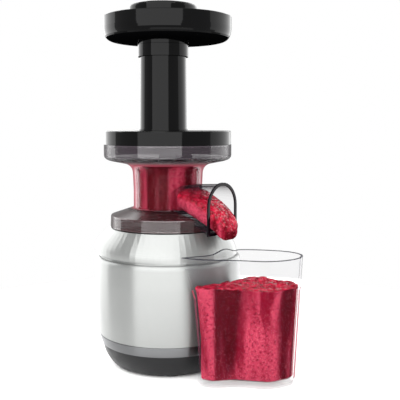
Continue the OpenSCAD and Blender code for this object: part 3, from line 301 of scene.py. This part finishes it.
metals = [
    bare_metal("steel", (0.58, 0.58, 0.59), 0.22),
    bare_metal("screw_steel", (0.5, 0.5, 0.51), 0.3),
    bare_metal("laminated_steel", (0.2, 0.21, 0.23), 0.42),
    bare_metal("copper", (0.62, 0.26, 0.11), 0.32, even_marks),
    bare_metal("brass", (0.66, 0.47, 0.2), 0.28),
    bare_metal("die_cast", (0.42, 0.43, 0.45), 0.5, even_marks),
    bare_metal("can_grey", (0.55, 0.55, 0.55), 0.35)]
print("bare", [m.name for m in metals])

# %% [markdown]
# ## Clear plastics
# A clear wall 2 mm thick hardly tints what is behind it, but it turns dark where it is seen
# along its length. Refraction would show that too, at the price of black shadows and grain,
# so here the wall's opacity grows towards its edge. It loses its gloss there as well, so
# that the edge stays a dark line instead of catching the lamps.
#
# A thick round wall is also a lens: what stands close behind it seems to reach the wall's
# own outline. So where puree fills the jug and the neck, the edge of the wall takes its
# colour, and only the last sliver is the dark line.

# %% Clear plastics
puree_through_wall = (0.2, 0.012, 0.03)


def clear_wall(paint, colour, edge_colour, face_alpha, power, filled=None, line=None):
    """A higher power keeps the dark edge narrower. Filled is 1 where puree stands behind the
    wall, and line is 1 where the shade of a moulded bead is painted as a dark line."""
    facing = paint.facing()
    edge = facing ** power
    tint = paint.blend(edge, colour, edge_colour)
    haze = paint.fade(paint.cloud(30 * MM, 2), 0.3, 0.7, 0.85, 1.15)
    opacity = face_alpha * haze + edge
    if filled:
        magnified = filled * paint.fade(facing, 0.52, 0.66)
        rim = paint.blend(paint.fade(facing, 0.9, 0.98), puree_through_wall, edge_colour)
        tint = paint.blend(magnified, tint, rim)
        opacity = opacity + magnified
    # painted shade: a dark line where the mask is 1
    if line:
        tint = paint.blend(line, tint, edge_colour)
        opacity = opacity + line
    paint.set("base_color", tint)
    paint.set("roughness", paint.fade(edge, 0.1, 0.5, 0.05, 0.9))
    paint.set("alpha", opacity)
    paint.bump(paint.cloud(20 * MM, 1), 0.02 * MM)
    return paint.material


# %% Jug
fill_foot, fill_level = 6 * MM, 106 * MM
fill_fade = 2 * MM
jug_paint = Paint("jug_clear", ior=1.5, specular_ior_level=0.1)
jug_filled = jug_paint.between(
    jug_paint.place("Z"), fill_foot, fill_foot + fill_fade,
    fill_level - 2 * fill_fade, fill_level - fill_fade)
jug_clear = clear_wall(
    jug_paint, (0.035, 0.03, 0.05), (0.002, 0.002, 0.004), 0.028, 9.0, filled=jug_filled)
print("jug filled to", round(fill_level, 3))

# %% [markdown]
# The bowl is smoked. Its upper ring and its skirt are painted darker than its neck, as painted
# shade for the more walls, one inside the other, that the eye passes there, and each moulded
# corner gets a painted dark line for its shade. The height on the bowl tells them apart. The
# corners are the skirt's lower edge and its shoulder, and the ring's lower and upper edge.

# %% Smoked bowl
neck_low, neck_high = 179 * MM, 229 * MM
neck_smoke, painted_shade_smoke, corner_painted_shade = 0.03, 0.5, 0.5
corner_core, corner_reach = 0.5 * MM, 1.1 * MM
skirt_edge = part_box("bowl_skirt")[0].z + 0.7 * MM
skirt_shoulder = 171.4 * MM
ring_low, ring_high = 239.2 * MM, 251.6 * MM

bowl_paint = Paint("smoked_clear", ior=1.5, specular_ior_level=0.65)
height = bowl_paint.place("Z")
# painted shade: the ring and the skirt get more opacity than the neck
smoke = (bowl_paint.fade(height, neck_low - 2 * MM, neck_low + 1 * MM, painted_shade_smoke, 0.0)
         + bowl_paint.fade(height, neck_high + 8 * MM, neck_high + 14 * MM, 0.0, painted_shade_smoke)
         + neck_smoke)
# painted shade: a dark line at each moulded corner
for corner in (skirt_edge, skirt_shoulder, ring_low, ring_high):
    smoke = smoke + corner_painted_shade * bowl_paint.between(
        height, corner - corner_reach, corner - corner_core,
        corner + corner_core, corner + corner_reach)
bowl_tint = bowl_paint.blend(
    bowl_paint.fade(height, neck_low, neck_high), (0.020, 0.006, 0.007), (0.014, 0.008, 0.013))
bowl_filled = bowl_paint.between(
    height, neck_low, neck_low + 2 * MM, neck_high, neck_high + 6 * MM)
smoked_clear = clear_wall(
    bowl_paint, bowl_tint, (0.0015, 0.001, 0.0015), smoke, 3.0, filled=bowl_filled)
print("dark corners at", [round(z, 4) for z in (skirt_edge, skirt_shoulder, ring_low, ring_high)])

# %% [markdown]
# The bead round the spout's mouth gathers light from the whole wall behind it and shows as
# a black line, painted here as shade on the spout's wall. It lies past one plane, so its place on the spout is
# enough to find it.

# %% Spout with a painted dark line round its mouth
bead_start, bead_full = 76.8 * MM, 77.3 * MM
spout_paint = Paint("spout_clear", ior=1.5, specular_ior_level=0.1)
# painted shade: the mask of the dark line round the mouth
bead = spout_paint.fade(axis_y - spout_paint.place("Y"), bead_start, bead_full)
spout_clear = clear_wall(
    spout_paint, (0.03, 0.022, 0.03), (0.002, 0.001, 0.002), 0.03, 2.4, line=bead)
print("bead from", round(bead_start, 4), "in front of the axis")

# %% Every carried-over node gets its finish by its slot
finishes = {m.name: m for m in (*plastics, *paints, *metals, jug_clear, smoked_clear)}
for part in frame["record"]["subparts"]:
    node = nodes[part["node"]]
    node.data.materials.clear()
    node.data.materials.append(finishes[part["material_slot"]])
nodes["spout"].data.materials[0] = spout_clear
print("finishes", len(finishes))

# %% [markdown]
# ## Fruit puree
# The puree isn't part of the machine, so no CAD solid holds it: it fills the gap between
# the strainer and the bowl's neck, runs down the spout and stands in the jug. Pressed
# against a clear wall it looks pink and matt, and where it lies open it is deep red and
# wet. The finish tells the two apart by which way the surface faces.

# %% Puree finish
puree = Paint("fruit_puree", ior=1.38, coat_roughness=0.12, coat_ior=1.5, specular_ior_level=0.0)
open_top = puree.fade(puree.faces_up(), 0.02, 0.5)
lumps = puree.cloud(7 * MM, 4, rough=0.65)
fibres = puree.cloud(2.4 * MM, 3, rough=0.75)
pale_seeds = puree.cloud(2.6 * MM, 3, rough=0.7, shift=(1, 2, 3))
streaks = puree.cloud(16 * MM, 3, (1, 1, 0.22))
# painted shade: the mask of dark upright bands, as the wall's curves would throw
painted_shade_bands = puree.cloud(22 * MM, 1, (1, 1, 0.05), shift=(0.2, 0.1, 0))

pressed = puree.blend(puree.fade(streaks, 0.36, 0.64), (0.12, 0.0025, 0.01), (0.32, 0.033, 0.062))
# painted shade: near-black upright bands over the pressed puree
pressed = puree.blend(puree.fade(painted_shade_bands, 0.34, 0.5), (0.035, 0.001, 0.002), pressed)
pressed = puree.blend(puree.fade(fibres, 0.48, 0.64, 0.0, 0.8), pressed, (0.08, 0.002, 0.007))
pressed = puree.blend(puree.fade(pale_seeds, 0.58, 0.7, 0.0, 0.35), pressed, (0.5, 0.1, 0.13))
wet = puree.blend(puree.fade(lumps, 0.35, 0.65), (0.085, 0.001, 0.004), (0.3, 0.008, 0.025))
puree.set("base_color", puree.blend(open_top, pressed, wet))
puree.set("roughness", puree.fade(open_top, 0.0, 1.0, 0.55, 0.4))
puree.set("coat_weight", open_top * puree.fade(fibres, 0.52, 0.6, 0.05, 0.9))
puree.bump(lumps * 0.7 + fibres * 0.3, 0.7 * MM)
fruit_puree = puree.material
print("puree nodes", len(puree.tree.nodes))

# %% Turn a finished bmesh into a piece that rides on a body
def make_piece(name, mesh, body, material):
    data = bpy.data.meshes.new(name)
    mesh.to_mesh(data)
    mesh.free()
    data.polygons.foreach_set("use_smooth", [True] * len(data.polygons))
    data.materials.append(material)
    piece = bpy.data.objects.new(name, data)
    scene.collection.objects.link(piece)
    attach(piece, body)
    print(name, len(data.polygons), "faces")


# %% [markdown]
# Noise can only raise lumps where there are vertices to move. A voxel remesh spreads them
# evenly over any closed shape, and after it each vertex moves along its own normal.

# %% Even out a closed mesh, then raise lumps on it
merge_distance = 0.01 * MM


def lumpy(mesh, voxel, relief):
    """Remeshes the bmesh, and moves each vertex along its normal by relief(place, normal)."""
    bmesh.ops.recalc_face_normals(mesh, faces=mesh.faces)
    data = bpy.data.meshes.new("rough")
    mesh.to_mesh(data)
    mesh.free()
    rough = bpy.data.objects.new("rough", data)
    scene.collection.objects.link(rough)
    remesh = rough.modifiers.new("even", "REMESH")
    remesh.mode = "VOXEL"
    remesh.voxel_size = voxel
    graph = bpy.context.evaluated_depsgraph_get()
    result = bmesh.new()
    result.from_mesh(rough.evaluated_get(graph).to_mesh())
    bpy.data.objects.remove(rough)
    bmesh.ops.smooth_vert(result, verts=result.verts, factor=0.5,
                          use_axis_x=True, use_axis_y=True, use_axis_z=True)
    result.normal_update()
    moves = [(v, v.normal * relief(v.co, v.normal)) for v in result.verts]
    for v, step in moves:
        v.co += step
    result.normal_update()
    return result


def lump(place, size, seed=0.0):
    """Soft noise from -1 to 1 whose lumps are about size across."""
    return noise.noise(place / size + Vector((seed, seed * 1.7, 0)))


# %% Puree in the neck
# radius and height of each corner of its section, in millimetres
neck_fill = [(33.8, 179.3), (36.3, 179.3), (36.4, 200), (36.4, 219), (37.6, 225.5), (40.5, 229.4),
             (38, 230.2), (33.8, 230)]
neck = bmesh.new()
profile = [neck.verts.new((r * MM, 0, z * MM)) for r, z in neck_fill]
edges = [neck.edges.new(ends) for ends in zip(profile, profile[1:] + profile[:1])]
bmesh.ops.spin(neck, geom=profile + edges, cent=(0, 0, 0), axis=(0, 0, 1),
               angle=math.tau, steps=96, use_merge=True)
bmesh.ops.translate(neck, verts=neck.verts, vec=drum_axis)
bmesh.ops.remove_doubles(neck, verts=neck.verts, dist=merge_distance)


def neck_relief(place, normal):
    """Lumps on the free top only: the wall and the strainer hold the rest."""
    return max(0, normal.z) * 1.2 * MM * lump(place, 6 * MM)


make_piece("neck_puree", lumpy(neck, 0.7 * MM, neck_relief), "bowl", fruit_puree)

# %% [markdown]
# The stream starts as a plain drum of unit size, cut across many times. Each ring of it is
# then fitted to its place along the spout: the floor and sides follow the spout's inside,
# the top sinks towards the mouth, and past the lip it hangs as a blunt tongue.

# %% Puree in the spout
# distance from the axis, low side, high side, half width and lean of the top towards +X,
# in millimetres
stream_stations = [(34, 180, 203.6, 25.6, 0), (44, 175, 203, 25.2, 1), (54, 170.3, 199.5, 24.6, 3),
                   (64, 165.6, 195.5, 24, 5), (72, 161.8, 191, 23.4, 7), (78.5, 158.9, 186.5, 22.8, 9),
                   (82, 155.6, 181.5, 21.8, 9), (85, 151.8, 175, 19.8, 8), (87.4, 149.5, 167.5, 16, 6),
                   (88.6, 152, 160, 8, 2)]
squareness = 0.75
lip_reach, lip_run = 77 * MM, 4 * MM
stream = bmesh.new()
bmesh.ops.create_cone(stream, cap_ends=True, segments=48, radius1=1, radius2=1, depth=1)
lengthwise = [e for e in stream.edges if abs(e.verts[0].co.z - e.verts[1].co.z) > 0.5]
bmesh.ops.subdivide_edges(stream, edges=lengthwise, cuts=35)


def station_at(t):
    """The stations' values at t from 0 to 1, joined by straight lines."""
    place = t * (len(stream_stations) - 1)
    k = min(int(place), len(stream_stations) - 2)
    return [a + (b - a) * (place - k) for a, b in zip(stream_stations[k], stream_stations[k + 1])]


for v in stream.verts:
    reach, low, high, half_width, lean = station_at(v.co.z + 0.5)
    across = math.copysign(abs(v.co.x) ** squareness, v.co.x)
    up = math.copysign(abs(v.co.y) ** squareness, v.co.y)
    drop = lean * max(0, up) * (1 + across) / 2
    rise = (low + high) / 2 + up * (high - low) / 2 - drop
    v.co = drum_axis + Vector((across * half_width, -reach, rise)) * MM


def stream_relief(place, normal):
    """Coarse folds and small lumps on the open top, next to none against the plastic."""
    past_lip = min(1, max(0, (axis_y - place.y - lip_reach) / lip_run))
    free = max(0, normal.z, past_lip * 0.8)
    return free * MM * (0.9 * lump(place, 9 * MM, 3) + 0.4 * lump(place, 3.5 * MM, 5))


make_piece("spout_puree", lumpy(stream, 0.8 * MM, stream_relief), "bowl", fruit_puree)

# %% [markdown]
# The puree in the jug takes the jug's own inside: the inner wall is picked out of a copy of
# the CAD mesh by the heights of its rings, cut level and closed at the top.

# %% Puree in the jug
# the jug's foot, floor, inner rounding and height, and the slack for a ring's height, in
# millimetres
jug_foot, jug_floor, jug_curve, jug_height = 3.0, 4.0, 1.4, 137.0
ring_slack = 0.15
wall_rows = 3
inside_low = jug_foot + jug_floor
inner_levels = [inside_low] + [
    inside_low + jug_curve + k / wall_rows * (jug_height - jug_foot) for k in range(wall_rows)]
air_gap = 0.55 * MM


def jug_copy():
    """The jug's CAD mesh with its seams merged."""
    copy = bmesh.new()
    copy.from_mesh(nodes["jug"].data)
    bmesh.ops.remove_doubles(copy, verts=copy.verts, dist=merge_distance)
    return copy


def lines_the_inside(face):
    lowest = min(v.co.z for v in face.verts) / MM
    return any(abs(lowest - level) < ring_slack for level in inner_levels)


fill = jug_copy()
outside = [f for f in fill.faces if not lines_the_inside(f)]
bmesh.ops.delete(fill, geom=outside, context="FACES")
bmesh.ops.bisect_plane(fill, geom=fill.verts[:] + fill.edges[:] + fill.faces[:],
                       plane_co=(0, 0, fill_level), plane_no=(0, 0, 1), clear_outer=True)
bmesh.ops.holes_fill(fill, edges=[e for e in fill.edges if e.is_boundary], sides=0)
print("jug fill volume ml", round(abs(fill.calc_volume()) * 1e6))


def jug_relief(place, normal):
    """Folds on the top, and a hair's breadth of air behind the wall."""
    top = max(0, normal.z) if place.z > fill_level - 2 * MM else 0
    folds = (3.2 * lump(place, 20 * MM, 1) + 1.6 * lump(place, 7 * MM, 2)
             + 0.7 * lump(place, 3 * MM, 4))
    return top * MM * folds - (1 - top) * air_gap


make_piece("jug_puree", lumpy(fill, 1.3 * MM, jug_relief), "jug", fruit_puree)

# %% [markdown]
# The jug's rim is rounded, so it gathers light from the wall below and shows as a fine dark
# line all round. That line is painted shade: a dark copy of the rim's own faces, drawn in a little and pulled
# down, makes it.

# %% Painted dark line for the shade of the jug's rim
line_height, line_inset = 0.7 * MM, 0.25 * MM
rim_zone = 0.9 * jug_height * MM
rim_line = jug_copy()
rim_line.normal_update()
bmesh.ops.delete(rim_line, context="FACES", geom=[
    f for f in rim_line.faces if f.normal.z < 0.5 or f.calc_center_median().z < rim_zone])
steps_in = []
for v in rim_line.verts:
    across = [e.other_vert(v).co for e in v.link_edges if not e.is_boundary]
    nearest = min(across, key=lambda place: (place - v.co).length)
    steps_in.append((nearest - v.co).normalized() * line_inset)
for v, step in zip(rim_line.verts, steps_in):
    v.co += step - Vector((0, 0, line_inset))
wall = bmesh.ops.extrude_face_region(rim_line, geom=rim_line.faces[:])
bmesh.ops.translate(rim_line, vec=(0, 0, -line_height),
                    verts=[v for v in wall["geom"] if isinstance(v, bmesh.types.BMVert)])
bmesh.ops.recalc_face_normals(rim_line, faces=rim_line.faces)
painted_rim_shade_paint = Paint("rim_line", roughness=0.6, specular_ior_level=0.1)
# painted shade: the line's dark colour, partly see-through
painted_rim_shade_paint.set("base_color", painted_rim_shade_paint.blend(
    painted_rim_shade_paint.cloud(10 * MM), (0.008, 0.008, 0.014), (0.02, 0.02, 0.03)))
painted_rim_shade_paint.set("alpha", painted_rim_shade_paint.fade(painted_rim_shade_paint.cloud(20 * MM), 0.3, 0.7, 0.55, 0.75))
make_piece("jug_rim_line", rim_line, "jug", painted_rim_shade_paint.material)

# %% [markdown]
# ## Studio
# The room is an even white. Four soft boxes that are brighter than the room make the upright
# bands on the gloss black and on the drum: two wide ones behind the camera, one above the
# other, and one at each side towards the back for the bright edges. The machine stands on a
# round pale table, small enough for the lower drum to mirror the boxes past the table's rim.

# %% Floor
table_radius = 0.5
floor_mesh = bmesh.new()
bmesh.ops.create_circle(floor_mesh, cap_ends=True, segments=96, radius=table_radius)
floor_data = bpy.data.meshes.new("floor")
floor_mesh.to_mesh(floor_data)
floor_mesh.free()
floor = bpy.data.objects.new("floor", floor_data)
scene.collection.objects.link(floor)
floor_paint = Paint("floor_pale", roughness=0.7, specular_ior_level=0.2)
floor_paint.set("base_color", floor_paint.blend(
    floor_paint.cloud(0.4, 1), (0.86, 0.86, 0.86), (0.9, 0.9, 0.9)))
floor_data.materials.append(floor_paint.material)
print("table radius", table_radius)

# %% Lamps
machine_middle = Vector((0, 0, 0.2))


def soft_box(name, azimuth, elevation, distance, width, height, glow):
    """A lamp that faces the machine, azimuth degrees round from the camera and elevation
    degrees up, glow times as bright as white."""
    data = bpy.data.lights.new(name, "AREA")
    data.shape = "RECTANGLE"
    data.size, data.size_y = width, height
    data.energy = glow * math.pi * width * height
    lamp = bpy.data.objects.new(name, data)
    turn, rise = camera_azimuth + math.radians(azimuth), math.radians(elevation)
    outwards = Vector((math.sin(turn) * math.cos(rise), -math.cos(turn) * math.cos(rise),
                       math.sin(rise)))
    lamp.location = drum_axis + machine_middle + outwards * distance
    lamp.rotation_euler = (-outwards).to_track_quat("-Z", "Y").to_euler()
    scene.collection.objects.link(lamp)
    print(name, "glow", glow)


soft_box("front_box", -14, 12, 2.4, 4.0, 3.0, 4)
soft_box("front_high_box", -14, 66, 2.4, 3.2, 1.9, 4)
soft_box("right_box", 120, 12, 2.2, 3.6, 3.0, 2)
soft_box("left_box", -140, 12, 2.2, 3.2, 3.0, 3)

# %% Surroundings
world = bpy.data.worlds.new("studio")
scene.world = world
world.use_nodes = True
background = world.node_tree.nodes["Background"]
background.inputs["Color"].default_value = (1, 1, 1, 1)
background.inputs["Strength"].default_value = 1
scene.view_settings.view_transform = "Standard"
print("room", world.name)
